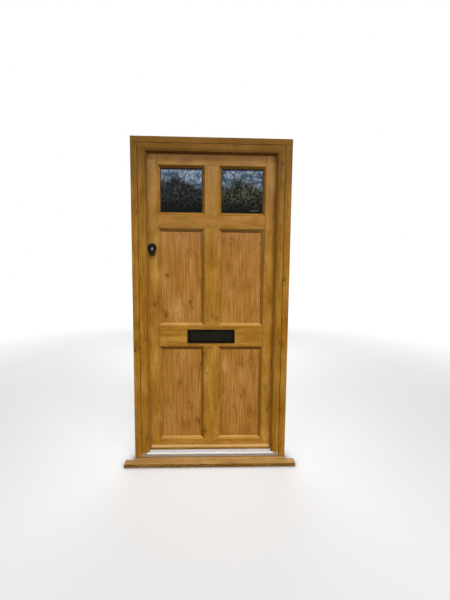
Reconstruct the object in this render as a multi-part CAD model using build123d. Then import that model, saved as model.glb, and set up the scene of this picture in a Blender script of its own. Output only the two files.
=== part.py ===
"""Panelled timber front door in its own frame, opening inwards, hinged on the right.

Millimetres. +X is to the right seen from outside, +Y goes into the house, +Z is up.
The origin is on the underside of the sill, midway across, in the plane of the frame's
outer face. Every sub-part is made by its own function and written to parts/NODE.step.
"""

from build123d import *
from collections import namedtuple
from math import cos, radians, sin
import os

# Leaf: a standard 838 x 1981 x 44 door.
LEAF_W = 838.0
LEAF_H = 1981.0
LEAF_T = 44.0
STILE_FACE = 72.0
MUNTIN_FACE = 88.0
TOP_RAIL_FACE = 74.0
MID_RAIL_FACE = 83.0
LOCK_RAIL_FACE = 136.0
BOTTOM_RAIL_FACE = 85.0
LIGHT_H = 311.0
LOWER_PANEL_H = 651.0

# Mouldings stuck on the stiles and rails, and what sits in the openings.
MOULD_W = 21.0
MOULD_D = 13.0
MOULD_QUIRK = 1.5
MOULD_BULGE = 0.5
GROOVE_IN = 14.0
PANEL_FIT = 0.2
PANEL_EDGE = 1.5
BEAD_W = 16.0
BEAD_D = 13.0
BEAD_FIT = 0.2
PANE_T = 4.0
SPACER_T = 12.0
SPACER_W = 8.0
GLASS_EDGE = 3.0

# Joints of the leaf.
TENON_L = 42.0
TENON_T = 14.0
TENON_SHOULDER = 14.0
MUNTIN_TENON_L = 25.0
MUNTIN_SHOULDER = 8.0
JOINT_FIT = 0.15
JOINT_LINE = 1.2

# Frame, extension and the gaps round the leaf.
EDGE_GAP = 3.0
REBATE = 10.0
STOP_D = 42.0
SEAL_GAP = 3.0
JAMB_BACK = 40.0
OVOLO_W = 16.0
OVOLO_D = 12.0
ARRIS = 2.5
EXT_SIDE = 43.0
EXT_HEAD = 38.0
EXT_D = 70.0
SEAL_GROOVE_IN = 2.0
SEAL_GROOVE_W = 3.0
SEAL_GROOVE_D = 5.0
SEAL_BULB = 5.0
SEAL_FIT = 0.2
SEAL_CLEAR = 0.4

# Sill and threshold.
SEAT_H = 30.0
SILL_DROP = 3.0
SILL_LIP = 1.0
NOSE_H = 25.0
NOSE_OUT = 74.0
NOSE_R = 3.0
WALL_SETBACK = 25.0
WALL_GAP = 1.0
HORN = 55.0
DRIP_W = 6.0
DRIP_D = 4.0
DRIP_IN = 12.0
THRESHOLD_H = 27.0
THRESHOLD_FALL = 2.0
THRESHOLD_ARRIS = 2.0
FLUTE_UP = 9.0
FLUTE_H = 7.0
FLUTE_D = 1.6
TOP_FLUTE_IN = 10.0
TOP_FLUTE_W = 4.0
THRESHOLD_WALL = 2.2
TRAY_H = 4.0
TRAY_END = 3.0
TRAY_LIP_H = 8.0
END_BLOCK_H = 29.0
LEAF_CLEAR = 13.0
THRESHOLD_SEAL_H = 6.0

# Weather bar on the foot of the leaf.
BAR_OUT = 22.0
BAR_H = 17.0
BAR_NOSE = 5.0
BAR_FALL = 6.0
BAR_UP = 31.0
BAR_END = 10.0
BAR_ARRIS = 1.0
BAR_GROOVE_IN = 6.0
BAR_GROOVE_W = 3.0
BAR_GROOVE_D = 2.0

# Butt hinges.
HINGE_H = 100.0
HINGE_PLATE_T = 3.0
HINGE_PLATE_W = 30.0
KNUCKLE_R = 6.0
KNUCKLES = 5
KNUCKLE_GAP = 0.3
AXIS_OUT = 7.0
PIN_R = 3.0
PIN_FIT = 0.05
PIN_HEAD_R = 5.0
PIN_HEAD_H = 2.0
HINGE_FOOT = 230.0
HINGE_HEAD = 196.0
SCREW_PITCH = 32.0

# Fasteners.
SCREW_R = 2.0
SCREW_HEAD_R = 3.8
SCREW_HEAD_H = 2.2
SCREW_L = 28.0
SCREW_FIT = 0.05
CROSS_L = 4.4
CROSS_W = 0.9
CROSS_D = 1.4

# Fixing holes through the jambs and the extension.
FIXING_R = 4.25
FIXING_SINK_R = 9.0
FIXING_SINK = 8.0
FIXING_Y = 60.0
FIXING_Z = 1050.0
FIXING_PITCH = 1200.0

# Letter plate, the same outside and inside.
APERTURE_W = 276.0
APERTURE_H = 65.0
PLATE_SIDE = 19.0
PLATE_RIM = 12.5
PLATE_T = 9.0
PLATE_R = 5.0
FLAP_GAP = 1.5
FLAP_T = 2.5
FLAP_SINK = 2.0
FLAP_EDGE = 1.2
FLAP_AXIS_DOWN = 6.5
FLAP_AXIS_UP = 2.2
EYE_R = 3.2
EYE_L = 12.0
EYE_IN = 28.0
ROD_R = 1.5
ROD_FIT = 0.05
ROD_IN = 3.0
SPRING_R = 2.2
SPRING_L = 40.0
SPRING_WIRE = 0.6
SLEEVE_T = 1.5
SLEEVE_FIT = 0.3
SLOT_GROW = 4.0
PLATE_BOLT_OUT = 10.0
PLATE_BOLT_R = 2.5
PLATE_BOLT_SHY = 3.0
PLATE_BOLT_FIT = 0.5

# Night latch, its cylinder and the finger pull round the cylinder.
BACKSET = 36.0
LATCH_UP = 1377.0
BORE_R = 16.0
CYLINDER_R = 14.0
CYLINDER_L = 34.0
CYLINDER_RISE = 1.0
CYLINDER_RING_T = 3.0
PLUG_RISE = 2.0
PLUG_R = 6.5
PLUG_FIT = 0.05
TAIL_W = 7.0
TAIL_T = 2.0
TAIL_REACH = 3.0
KEYWAY_W = 2.4
KEYWAY_H = 9.0
KEYWAY_D = 10.0
PULL_W = 54.0
PULL_H = 80.0
PULL_DROP = 4.0
PULL_OUT = 16.0
PULL_LIP_OUT = 26.0
PULL_LIP_T = 2.0
PULL_TAIL_W = 34.0
PULL_FOOT_T = 3.0
PULL_BOWL_R = 18.0
PULL_BOWL_D = 6.0
CASE_W = 63.0
CASE_H = 92.0
CASE_T = 26.0
CASE_WALL = 2.5
CASE_EDGE = 0.5
CASE_END = 10.0
SCREW_SEAT = 6.0
BOLT_W = 14.0
BOLT_H = 24.0
BOLT_L = 34.0
BOLT_FIT = 0.3
BOLT_SPRING_R = 3.0
BOLT_SPRING_WIRE = 0.8
BOLT_SPRING_UP = 8.5
KEEP_GAP = 4.5
KEEP_W = 34.0
KEEP_H = 80.0
KEEP_WALL = 4.0
KEEP_SCREW_IN = 8.0
KNOB_R = 15.0
KNOB_OUT = 20.0
KNOB_STEM_R = 5.0
COLLAR_T = 4.0
SNIB_W = 7.0
SNIB_H = 5.0
SNIB_OUT = 3.0
SNIB_TRAVEL = 6.0
SNIB_DOWN = 32.0

# Places worked out from the sizes above.
JAMB_D = STOP_D + SEAL_GAP + LEAF_T
LEAF_Y = STOP_D + SEAL_GAP
LEAF_Z = SEAT_H + LEAF_CLEAR
LEAF_TOP = LEAF_Z + LEAF_H
LEAF_X = LEAF_W / 2
REBATE_X = LEAF_X + EDGE_GAP
STOP_X = REBATE_X - REBATE
JAMB_X = REBATE_X + JAMB_BACK
OUTER_X = JAMB_X + EXT_SIDE
STOP_Z = LEAF_TOP + EDGE_GAP - REBATE
HEAD_Z = LEAF_TOP + EDGE_GAP + JAMB_BACK
SQUARE_Z = STOP_Z + OVOLO_W
TOP_Z = HEAD_Z + EXT_HEAD
JAMB_W = REBATE + JAMB_BACK
JAMB_FOOT = SEAT_H + END_BLOCK_H
SHOULDER_X = LEAF_X - STILE_FACE
MUNTIN_X = MUNTIN_FACE / 2
MIDDLE_PANEL_H = (LEAF_H - BOTTOM_RAIL_FACE - LOWER_PANEL_H - LOCK_RAIL_FACE
                  - MID_RAIL_FACE - LIGHT_H - TOP_RAIL_FACE)
LOWER_Z0 = LEAF_Z + BOTTOM_RAIL_FACE
LOWER_Z1 = LOWER_Z0 + LOWER_PANEL_H
MIDDLE_Z0 = LOWER_Z1 + LOCK_RAIL_FACE
MIDDLE_Z1 = MIDDLE_Z0 + MIDDLE_PANEL_H
LIGHT_Z0 = MIDDLE_Z1 + MID_RAIL_FACE
LIGHT_Z1 = LIGHT_Z0 + LIGHT_H
UNIT_T = 2 * PANE_T + SPACER_T
LIP_T = LEAF_T - BEAD_D - UNIT_T
PANEL_T = LEAF_T - 2 * MOULD_D
HINGE_UP = (HINGE_FOOT, (HINGE_FOOT + LEAF_H - HINGE_HEAD) / 2, LEAF_H - HINGE_HEAD)
HINGE_X = (LEAF_X + REBATE_X) / 2
HINGE_Y = JAMB_D + AXIS_OUT
LATCH_X = BACKSET - LEAF_X
LATCH_Z = LEAF_Z + LATCH_UP
PLATE_Z = LOWER_Z1 + LOCK_RAIL_FACE / 2
PLATE_W = APERTURE_W + 2 * PLATE_SIDE
PLATE_H = APERTURE_H + 2 * PLATE_RIM
PLATE_BOLT_X = APERTURE_W / 2 + PLATE_BOLT_OUT
EYE_X = APERTURE_W / 2 - EYE_IN
MID_Y = LEAF_Y + LEAF_T / 2

Opening = namedtuple("Opening", "x0 x1 z0 z1 mould")


def slab(x0, x1, y0, y1, z0, z1):
    """A block between two corners."""
    low = (Align.MIN, Align.MIN, Align.MIN)
    return Pos(x0, y0, z0) * Box(x1 - x0, y1 - y0, z1 - z0, align=low)


def prism_x(outline, x0, x1):
    """A (y, z) outline carried along X. It is a list of points or a finished face."""
    face = outline if isinstance(outline, Sketch) else make_face(Polyline(*outline, close=True))
    return extrude(Plane(origin=(x0, 0, 0), x_dir=(0, 1, 0), z_dir=(1, 0, 0)) * face, x1 - x0)


def prism_y(outline, y0, y1):
    """An (x, z) outline carried along Y."""
    face = outline if isinstance(outline, Sketch) else make_face(Polyline(*outline, close=True))
    return extrude(Plane(origin=(0, y0, 0), x_dir=(1, 0, 0), z_dir=(0, -1, 0)) * face, y0 - y1)


def prism_z(outline, z0, z1):
    """An (x, y) outline carried along Z."""
    face = outline if isinstance(outline, Sketch) else make_face(Polyline(*outline, close=True))
    return extrude(Plane(origin=(0, 0, z0)) * face, z1 - z0)


def rod_x(x0, x1, y, z, r):
    """A round bar along X."""
    low = (Align.CENTER, Align.CENTER, Align.MIN)
    return Pos(x0, y, z) * Rot(0, 90, 0) * Cylinder(r, x1 - x0, align=low)


def rod_y(x, y0, y1, z, r):
    """A round bar along Y."""
    low = (Align.CENTER, Align.CENTER, Align.MIN)
    return Pos(x, y0, z) * Rot(-90, 0, 0) * Cylinder(r, y1 - y0, align=low)


def rod_z(x, y, z0, z1, r):
    """A round bar along Z."""
    low = (Align.CENTER, Align.CENTER, Align.MIN)
    return Pos(x, y, z0) * Cylinder(r, z1 - z0, align=low)


def group(solids):
    """Several separate solids that share one node."""
    return Compound(children=list(solids))


# Leaf: the openings between its stiles, rails and muntins.

def openings():
    """The six openings: lower and middle panels and the glazed lights, left then right."""
    rows = {"lower": (LOWER_Z0, LOWER_Z1, MOULD_W), "middle": (MIDDLE_Z0, MIDDLE_Z1, MOULD_W),
            "light": (LIGHT_Z0, LIGHT_Z1, BEAD_W)}
    columns = {"left": (-SHOULDER_X, -MUNTIN_X), "right": (MUNTIN_X, SHOULDER_X)}
    return {(row, side): Opening(x0, x1, z0, z1, mould)
            for row, (z0, z1, mould) in rows.items()
            for side, (x0, x1) in columns.items()}


OPENINGS = openings()


def moulded_gap(half, depth, width):
    """The section of an opening with a moulded edge: wide at the face, narrow at its depth.

    The edge has a small quirk, then a shallow ovolo down to a square sight edge.
    """
    foot = depth - MOULD_QUIRK * 2
    over = 1.0
    start = (half - MOULD_QUIRK, MOULD_QUIRK)
    end = (half - width, foot)
    middle = ((start[0] + end[0]) / 2 - MOULD_BULGE, (start[1] + end[1]) / 2 - MOULD_BULGE)
    right = (Polyline((0, -over), (half, -over), (half, MOULD_QUIRK), start)
             + ThreePointArc(start, middle, end)
             + Polyline(end, (half - width, depth), (0, depth)))
    left = mirror(right, Plane.YZ)
    return make_face(right + left)


def moulded_plug(op, depth, from_inside=False):
    """What an opening's mouldings leave free, with its corners mitred.

    Two equal sections, one carried along Z and one along X, cross in a plug whose four
    sides have the same moulding and meet on 45 degree lines.
    """
    x, z = (op.x0 + op.x1) / 2, (op.z0 + op.z1) / 2
    w, h = (op.x1 - op.x0) / 2, (op.z1 - op.z0) / 2
    face_y, turn = (LEAF_Y + LEAF_T, -1) if from_inside else (LEAF_Y, 1)
    upright = Plane(origin=(x, face_y, z - h), x_dir=(turn, 0, 0), z_dir=(0, 0, 1))
    level = Plane(origin=(x - w, face_y, z), x_dir=(0, 0, -turn), z_dir=(1, 0, 0))
    along_z = extrude(upright * moulded_gap(w, depth, op.mould), 2 * h)
    along_x = extrude(level * moulded_gap(h, depth, op.mould), 2 * w)
    return along_z & along_x


def sight_box(op, y0, y1, grow=0.0):
    """The clear opening inside the mouldings, grown all round by grow."""
    m = op.mould - grow
    return slab(op.x0 + m, op.x1 - m, y0, y1, op.z0 + m, op.z1 - m)


def panel_cutter(op):
    """Mouldings on both faces, the way through, and the groove for the panel's tongue."""
    half = PANEL_T / 2 + PANEL_FIT
    groove = sight_box(op, MID_Y - half, MID_Y + half, GROOVE_IN)
    through = sight_box(op, LEAF_Y, LEAF_Y + LEAF_T)
    return [moulded_plug(op, MOULD_D), moulded_plug(op, MOULD_D, True), through, groove]


def light_cutter(op):
    """A square rebate from outside for bead and glass, and a moulded lip inside."""
    rebate = slab(op.x0, op.x1, LEAF_Y - 1, LEAF_Y + BEAD_D + UNIT_T, op.z0, op.z1)
    return [rebate, moulded_plug(op, LIP_T, True), sight_box(op, LEAF_Y, LEAF_Y + LEAF_T)]


CUTTERS = {key: light_cutter(op) if key[0] == "light" else panel_cutter(op)
           for key, op in OPENINGS.items()}


def edge_strip(op, side):
    """The moulded strip on one side of an opening, with 45 degree ends."""
    m = op.mould
    outer = {"low_x": [(op.x0, op.z0), (op.x0, op.z1)], "high_x": [(op.x1, op.z0), (op.x1, op.z1)],
             "low_z": [(op.x0, op.z0), (op.x1, op.z0)], "high_z": [(op.x0, op.z1), (op.x1, op.z1)]}
    middle_x, middle_z = (op.x0 + op.x1) / 2, (op.z0 + op.z1) / 2
    first, last = outer[side]

    def inward(point):
        return (point[0] + (m if point[0] < middle_x else -m),
                point[1] + (m if point[1] < middle_z else -m))

    return prism_y([first, last, inward(last), inward(first)], LEAF_Y, LEAF_Y + LEAF_T)


def cut_all(solid, cutters):
    """A solid with every cutter taken out."""
    for cutter in cutters:
        solid -= cutter
    return solid


def joint_line(x, z, length, upright):
    """V cutters for the fine line of a joint on both faces, from (x, z) along its length."""
    v = JOINT_LINE
    lines = []
    for face, out in ((LEAF_Y, -1), (LEAF_Y + LEAF_T, 1)):
        if upright:
            lines.append(prism_z([(x - v, face + out), (x - v, face), (x, face - out * v), (x + v, face),
                                  (x + v, face + out)], z, z + length))
        else:
            lines.append(prism_x([(face + out, z - v), (face, z - v), (face - out * v, z), (face, z + v),
                                  (face + out, z + v)], x, x + length))
    return lines


def member(core, strips, extra=()):
    """A stile, rail or muntin: its core with moulded strips, then the openings cut out."""
    solid = core
    for key, side in strips:
        solid += edge_strip(OPENINGS[key], side)
    for key in dict.fromkeys(key for key, _ in strips):
        solid = cut_all(solid, CUTTERS[key])
    for tenon in extra:
        solid += tenon
    return solid


def rail_tenons(z0, z1, fit=0.0):
    """The two tenons at a rail's ends, or their mortices when fit is given."""
    y0, y1 = MID_Y - TENON_T / 2 - fit, MID_Y + TENON_T / 2 + fit
    low, high = z0 + TENON_SHOULDER - fit, z1 - TENON_SHOULDER + fit
    reach = SHOULDER_X + TENON_L + fit
    return [slab(-reach, -SHOULDER_X, y0, y1, low, high), slab(SHOULDER_X, reach, y0, y1, low, high)]


def muntin_tenons(z0, z1, fit=0.0):
    """The tenons at a muntin's two ends, or their mortices when fit is given."""
    half = MUNTIN_X - MUNTIN_SHOULDER + fit
    y0, y1 = MID_Y - TENON_T / 2 - fit, MID_Y + TENON_T / 2 + fit
    reach = MUNTIN_TENON_L + fit
    return [slab(-half, half, y0, y1, z0 - reach, z0), slab(-half, half, y0, y1, z1, z1 + reach)]


RAILS = {"bottom_rail": (LEAF_Z, LOWER_Z0), "lock_rail": (LOWER_Z1, MIDDLE_Z0),
         "mid_rail": (MIDDLE_Z1, LIGHT_Z0), "top_rail": (LIGHT_Z1, LEAF_TOP)}
MUNTINS = {"muntin_lower": (LOWER_Z0, LOWER_Z1), "muntin_middle": (MIDDLE_Z0, MIDDLE_Z1),
           "muntin_top": (LIGHT_Z0, LIGHT_Z1)}


def shoulder_lines(z0, z1):
    """The fine lines where a rail meets the two stiles."""
    return [cutter for x in (-SHOULDER_X, SHOULDER_X) for cutter in joint_line(x, z0, z1 - z0, True)]


def muntin_lines(z0, z1):
    """The fine lines where a muntin meets the rails below and above it."""
    return [cutter for z in (z0, z1) for cutter in joint_line(-MUNTIN_X, z, MUNTIN_FACE, False)]


def rail(name):
    """A rail between the stiles, with tenons at its ends and mortices for the muntins."""
    z0, z1 = RAILS[name]
    core = slab(-SHOULDER_X, SHOULDER_X, LEAF_Y, LEAF_Y + LEAF_T, z0, z1)
    strips = [(key, "low_z") for key, op in OPENINGS.items() if op.z0 == z1]
    strips += [(key, "high_z") for key, op in OPENINGS.items() if op.z1 == z0]
    solid = cut_all(member(core, strips, rail_tenons(z0, z1)), shoulder_lines(z0, z1))
    for ends in MUNTINS.values():
        solid = cut_all(solid, muntin_tenons(*ends, fit=JOINT_FIT) + muntin_lines(*ends))
    return solid


def muntin(name):
    """An upright between two rails."""
    z0, z1 = MUNTINS[name]
    core = slab(-MUNTIN_X, MUNTIN_X, LEAF_Y, LEAF_Y + LEAF_T, z0, z1)
    row = {"muntin_lower": "lower", "muntin_middle": "middle", "muntin_top": "light"}[name]
    strips = [((row, "left"), "high_x"), ((row, "right"), "low_x")]
    return cut_all(member(core, strips, muntin_tenons(z0, z1)), muntin_lines(z0, z1))


def stile(side):
    """A full-height stile. side is -1 for the lock side and 1 for the hinge side."""
    x0, x1 = sorted((side * SHOULDER_X, side * LEAF_X))
    core = slab(x0, x1, LEAF_Y, LEAF_Y + LEAF_T, LEAF_Z, LEAF_TOP)
    column, edge = ("left", "low_x") if side < 0 else ("right", "high_x")
    solid = member(core, [((row, column), edge) for row in ("lower", "middle", "light")])
    for ends in RAILS.values():
        solid = cut_all(solid, rail_tenons(*ends, fit=JOINT_FIT) + shoulder_lines(*ends))
    return solid


def panel(key):
    """A flat panel, loose in the grooves round its opening."""
    return sight_box(OPENINGS[key], MID_Y - PANEL_T / 2, MID_Y + PANEL_T / 2, GROOVE_IN - PANEL_EDGE)


def glazing_beads(key):
    """Four mitred beads that hold the glass from outside."""
    op = OPENINGS[key]
    outer = slab(op.x0 + BEAD_FIT, op.x1 - BEAD_FIT, LEAF_Y, LEAF_Y + BEAD_D,
                 op.z0 + BEAD_FIT, op.z1 - BEAD_FIT)
    ring = outer - moulded_plug(op, BEAD_D)
    return group(ring & edge_strip(op, side) for side in ("low_x", "high_x", "low_z", "high_z"))


def glass_box(key, y0, y1, inset=0.0):
    """A sheet that fills a light's rebate, less the clearance at its edge."""
    op = OPENINGS[key]
    edge = GLASS_EDGE + inset
    return slab(op.x0 + edge, op.x1 - edge, y0, y1, op.z0 + edge, op.z1 - edge)


def pane(key, inner):
    """One sheet of a sealed unit."""
    y = LEAF_Y + BEAD_D + (PANE_T + SPACER_T if inner else 0)
    return glass_box(key, y, y + PANE_T)


def spacer(key):
    """The bar that keeps the two panes apart, all round their edge."""
    y = LEAF_Y + BEAD_D + PANE_T
    return glass_box(key, y, y + SPACER_T) - glass_box(key, y, y + SPACER_T, SPACER_W)


def weather_bar():
    """The sloping bar that throws rain clear of the threshold."""
    z1 = LEAF_Z + BAR_UP + BAR_H
    z0 = z1 - BAR_H
    nose_y = LEAF_Y - BAR_OUT
    nose_z = z1 - BAR_FALL
    under = nose_z - BAR_NOSE
    groove0 = nose_y + BAR_GROOVE_IN
    groove1 = groove0 + BAR_GROOVE_W
    outline = [(LEAF_Y, z0), (LEAF_Y, z1), (nose_y + BAR_ARRIS, nose_z), (nose_y, nose_z - BAR_ARRIS),
               (nose_y, under), (groove0, under), (groove0, under + BAR_GROOVE_D),
               (groove1, under + BAR_GROOVE_D), (groove1, under)]
    reach = STOP_X - BAR_END
    return prism_x(outline, -reach, reach)


# Frame: jambs and head of one rebated section.

def frame_section():
    """Half the frame's section: u runs out from the stop's inner face, v goes inwards.

    An ovolo softens the stop's outer edge, and a groove in its back holds the seal.
    """
    ovolo_start = (OVOLO_W, MOULD_QUIRK)
    ovolo_end = (0, OVOLO_D)
    bulge = (OVOLO_W / 2 - MOULD_BULGE, OVOLO_D / 2 - MOULD_BULGE + MOULD_QUIRK / 2)
    groove = SEAL_GROOVE_IN + SEAL_GROOVE_W
    rest = Polyline(ovolo_end, (0, STOP_D), (SEAL_GROOVE_IN, STOP_D),
                    (SEAL_GROOVE_IN, STOP_D - SEAL_GROOVE_D), (groove, STOP_D - SEAL_GROOVE_D),
                    (groove, STOP_D), (REBATE, STOP_D), (REBATE, JAMB_D), (JAMB_W, JAMB_D),
                    (JAMB_W, ARRIS), (JAMB_W - ARRIS, 0), (OVOLO_W + MOULD_QUIRK, 0),
                    (OVOLO_W + MOULD_QUIRK, MOULD_QUIRK), ovolo_start)
    return make_face(ThreePointArc(ovolo_start, bulge, ovolo_end) + rest)


def jamb(side):
    """A jamb from its end block up to the head. side is -1 left, 1 right.

    Its top is square to the head, apart from the moulded edge, which is mitred.
    """
    body = extrude(Plane(origin=(STOP_X, 0, JAMB_FOOT)) * frame_section(), HEAD_Z - JAMB_FOOT)
    below = prism_y([(STOP_X, JAMB_FOOT), (JAMB_X, JAMB_FOOT), (JAMB_X, SQUARE_Z),
                     (STOP_X + OVOLO_W, SQUARE_Z), (STOP_X, STOP_Z)], 0, JAMB_D)
    solid = cut_all(body & below, fixing_cutters())
    return solid if side > 0 else mirror(solid, Plane.YZ)


def frame_head():
    """The head, lying on the jambs, with the ends of its moulded edge mitred to theirs."""
    level = Plane(origin=(-JAMB_X, 0, STOP_Z), x_dir=(0, 0, 1), z_dir=(-1, 0, 0))
    body = extrude(level * frame_section(), -2 * JAMB_X)
    mitre_x = STOP_X + OVOLO_W
    above = prism_y([(-STOP_X, STOP_Z), (-mitre_x, SQUARE_Z), (-JAMB_X, SQUARE_Z), (-JAMB_X, HEAD_Z),
                     (JAMB_X, HEAD_Z), (JAMB_X, SQUARE_Z), (mitre_x, SQUARE_Z), (STOP_X, STOP_Z)],
                    0, JAMB_D)
    return body & above


def fixing_cutters():
    """Holes for the frame fixings through the right jamb and extension, sunk in the rebate."""
    cutters = []
    for z in (FIXING_Z - FIXING_PITCH / 2, FIXING_Z + FIXING_PITCH / 2):
        cutters.append(rod_x(REBATE_X - 1, OUTER_X + 1, FIXING_Y, z, FIXING_R))
        cutters.append(rod_x(REBATE_X - 1, REBATE_X + FIXING_SINK, FIXING_Y, z, FIXING_SINK_R))
    return cutters


def extension_side(side):
    """The upright that widens the frame to the brickwork. side is -1 left, 1 right."""
    outline = [(JAMB_X, ARRIS), (JAMB_X + ARRIS, 0), (OUTER_X - ARRIS / 2, 0), (OUTER_X, ARRIS / 2),
               (OUTER_X, EXT_D), (JAMB_X, EXT_D)]
    solid = cut_all(prism_z(outline, SEAT_H, HEAD_Z), fixing_cutters())
    return solid if side > 0 else mirror(solid, Plane.YZ)


def extension_head():
    """The length over the head that runs out to both sides."""
    outline = [(ARRIS, HEAD_Z), (0, HEAD_Z + ARRIS), (0, TOP_Z - ARRIS / 2), (ARRIS / 2, TOP_Z),
               (EXT_D, TOP_Z), (EXT_D, HEAD_Z)]
    return prism_x(outline, -OUTER_X, OUTER_X)


def seal_section():
    """A push-in weather seal: a stem in the groove and a soft bulb towards the leaf."""
    tip = LEAF_Y - SEAL_CLEAR
    stem0 = SEAL_GROOVE_IN + SEAL_FIT
    stem1 = SEAL_GROOVE_IN + SEAL_GROOVE_W - SEAL_FIT
    middle = (stem0 + stem1) / 2
    bulb0, bulb1 = middle - SEAL_BULB / 2, middle + SEAL_BULB / 2
    base = Polyline((bulb1, STOP_D), (stem1, STOP_D), (stem1, STOP_D - SEAL_GROOVE_D + SEAL_FIT),
                    (stem0, STOP_D - SEAL_GROOVE_D + SEAL_FIT), (stem0, STOP_D), (bulb0, STOP_D))
    return make_face(ThreePointArc((bulb0, STOP_D), (middle, tip), (bulb1, STOP_D)) + base)


def frame_seals():
    """Three lengths of seal: lock side, head and hinge side."""
    upright = extrude(Plane(origin=(STOP_X, 0, JAMB_FOOT)) * seal_section(), STOP_Z - JAMB_FOOT)
    reach = STOP_X + SEAL_GROOVE_IN + SEAL_GROOVE_W
    level = Plane(origin=(-reach, 0, STOP_Z), x_dir=(0, 0, 1), z_dir=(-1, 0, 0))
    over = extrude(level * seal_section(), -2 * reach)
    return group([mirror(upright, Plane.YZ), over, upright])


# Sill and threshold.

def sill():
    """The hardwood sill: a seat under the frame, a fall to the nose, horns over the brickwork."""
    nose_y = -NOSE_OUT
    drip_y = nose_y + DRIP_IN
    outline = [(JAMB_D, 0), (JAMB_D, SEAT_H), (-SILL_LIP, SEAT_H), (-SILL_LIP, SEAT_H - SILL_DROP),
               (nose_y, NOSE_H), (nose_y, 0), (drip_y, 0), (drip_y, DRIP_D),
               (drip_y + DRIP_W, DRIP_D), (drip_y + DRIP_W, 0)]
    reach = OUTER_X + HORN
    body = prism_x(outline, -reach, reach)
    nose_edge = body.edges().filter_by(Axis.X).sort_by_distance((0, nose_y, NOSE_H))[0]
    body = fillet(nose_edge, NOSE_R)
    back = -WALL_SETBACK - WALL_GAP
    for x0, x1 in ((-reach - 1, -OUTER_X), (OUTER_X, reach + 1)):
        body -= slab(x0, x1, back, JAMB_D + 1, -1, SEAT_H + 1)
    return body


def threshold():
    """One aluminium extrusion: a hollow front that stops the leaf, and a tray behind it.

    Its top falls a little outwards and has a flute, as its front has. Its ends are scribed
    to the end blocks, so it fills the hollow of their moulded edge.
    """
    t = THRESHOLD_WALL
    top = SEAT_H + THRESHOLD_H
    lip = top - THRESHOLD_FALL
    foot = SEAT_H + TRAY_H
    back = JAMB_D - TRAY_END
    flute0, flute1 = SEAT_H + FLUTE_UP, SEAT_H + FLUTE_UP + FLUTE_H
    slope = THRESHOLD_FALL / (STOP_D - THRESHOLD_ARRIS)
    near, far = TOP_FLUTE_IN, TOP_FLUTE_IN + TOP_FLUTE_W
    near_z = lip + slope * (near - THRESHOLD_ARRIS)
    far_z = lip + slope * (far - THRESHOLD_ARRIS)
    outline = [(0, SEAT_H), (0, flute0), (FLUTE_D, flute0), (FLUTE_D, flute1), (0, flute1),
               (0, lip - THRESHOLD_ARRIS), (THRESHOLD_ARRIS, lip), (near, near_z),
               (near, near_z - FLUTE_D), (far, far_z - FLUTE_D), (far, far_z), (STOP_D, top),
               (STOP_D, foot), (back - t, foot), (back - t, SEAT_H + TRAY_LIP_H),
               (back, SEAT_H + TRAY_LIP_H), (back, SEAT_H)]
    hollow = [(2 * t, SEAT_H + t), (2 * t, lip - 2 * t), (STOP_D - t, lip - 2 * t),
              (STOP_D - t, SEAT_H + t)]
    reach = STOP_X + OVOLO_W
    body = prism_x(outline, -reach, reach) - prism_x(hollow, -STOP_X + t, STOP_X - t)
    return cut_all(body, [threshold_end(-1), threshold_end(1)])


def threshold_end(side):
    """A moulded block that closes the threshold's end and carries the jamb."""
    body = extrude(Plane(origin=(STOP_X, 0, SEAT_H)) * frame_section(), END_BLOCK_H)
    return body if side > 0 else mirror(body, Plane.YZ)


def threshold_seal():
    """The seal on the back of the threshold's front, against the foot of the leaf."""
    z1 = SEAT_H + THRESHOLD_H - 2
    z0 = z1 - THRESHOLD_SEAL_H
    face = make_face(ThreePointArc((STOP_D, z0), (LEAF_Y - SEAL_CLEAR, (z0 + z1) / 2), (STOP_D, z1))
                     + Line((STOP_D, z1), (STOP_D, z0)))
    return prism_x(face, -STOP_X, STOP_X)


# Hinges and screws.

def screw(head, towards, length=SCREW_L, fit=0.0):
    """A countersunk screw: head is the middle of its flat head, towards points down the shank.

    The screw itself has a cross recess. With a fit it is the cutter for its hole.
    """
    low = (Align.CENTER, Align.CENTER, Align.MIN)
    r, big = SCREW_R + fit, SCREW_HEAD_R + fit
    body = Cone(big, r, SCREW_HEAD_H, align=low) + Cylinder(r, length + fit, align=low)
    if not fit:
        body -= Box(CROSS_L, CROSS_W, CROSS_D, align=low)
        body -= Box(CROSS_W, CROSS_L, CROSS_D, align=low)
    return Plane(origin=head, z_dir=towards) * body


def hinge_screw_heights(z):
    """Three screws up a hinge plate."""
    return [z + k * SCREW_PITCH for k in (-1, 0, 1)]


def hinge_screws(on_leaf, fit=0.0):
    """All the screws of the three hinges on one side."""
    x, towards = (LEAF_X, (-1, 0, 0)) if on_leaf else (REBATE_X, (1, 0, 0))
    y = JAMB_D - HINGE_PLATE_W / 2
    return [screw((x, y, z), towards, fit=fit)
            for up in HINGE_UP for z in hinge_screw_heights(LEAF_Z + up)]


def lock_screws(places, fit=0.0):
    """Screws through the latch case or the keep, their heads sunk deep in it."""
    return [screw((x, JAMB_D + SCREW_SEAT, z), (0, -1, 0), fit=fit) for x, z in places]


def lock_screw_cutters(places):
    """Holes for those screws, with the wells over their heads."""
    wells = [rod_y(x, JAMB_D + SCREW_SEAT, JAMB_D + CASE_T + 1, z, SCREW_HEAD_R + SCREW_FIT)
             for x, z in places]
    return lock_screws(places, SCREW_FIT) + wells


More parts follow.
